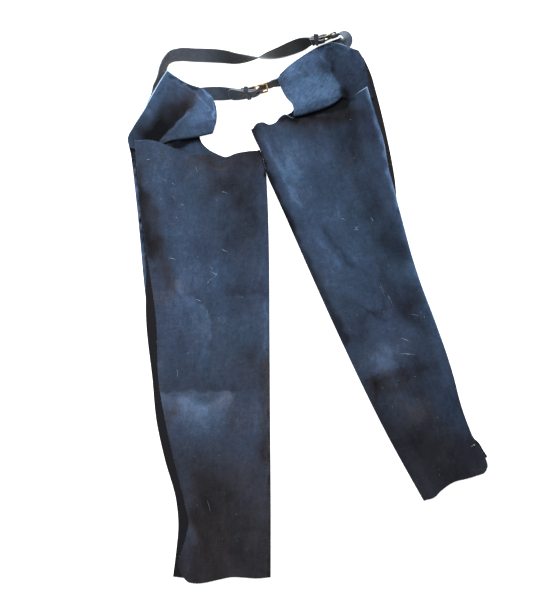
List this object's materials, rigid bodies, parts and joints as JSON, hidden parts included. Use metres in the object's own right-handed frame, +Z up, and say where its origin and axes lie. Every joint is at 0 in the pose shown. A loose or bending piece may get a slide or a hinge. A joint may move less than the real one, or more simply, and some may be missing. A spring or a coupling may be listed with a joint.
{
  "type": "leather chaps",
  "caption": "Suede leather full chaps laid flat with the back up: folded leg panels, rolled hip yokes, and buckled front and back waist belts.",
  "frame": {"origin": "middle of the bounding box, on the surface that the chaps lie on", "axes": "+Z up from that surface, +Y from the hems to the waist along the laid legs, +X to the wearer's right"},
  "size_m": [0.6466, 0.9924, 0.0346],
  "materials": {
    "suede": "matte napped split leather",
    "closing_strip": "smooth dark",
    "belt_leather": "worn, slightly napped",
    "brass": "worn satin"
  },
  "bodies": {
    "root": {"leg_left": "suede", "leg_right": "suede", "yoke_left": "suede", "yoke_right": "suede", "side_tape_left": "closing_strip", "side_tape_right": "closing_strip", "end_stop_right": "brass", "back_belt_left": "belt_leather", "back_belt_right": "belt_leather", "back_keeper": "belt_leather", "back_buckle_frame": "brass", "back_buckle_prong": "brass", "front_belt_left": "belt_leather", "front_belt_right": "belt_leather", "front_keeper": "belt_leather", "front_buckle_frame": "brass", "front_buckle_prong": "brass"}
  },
  "joints": []
}
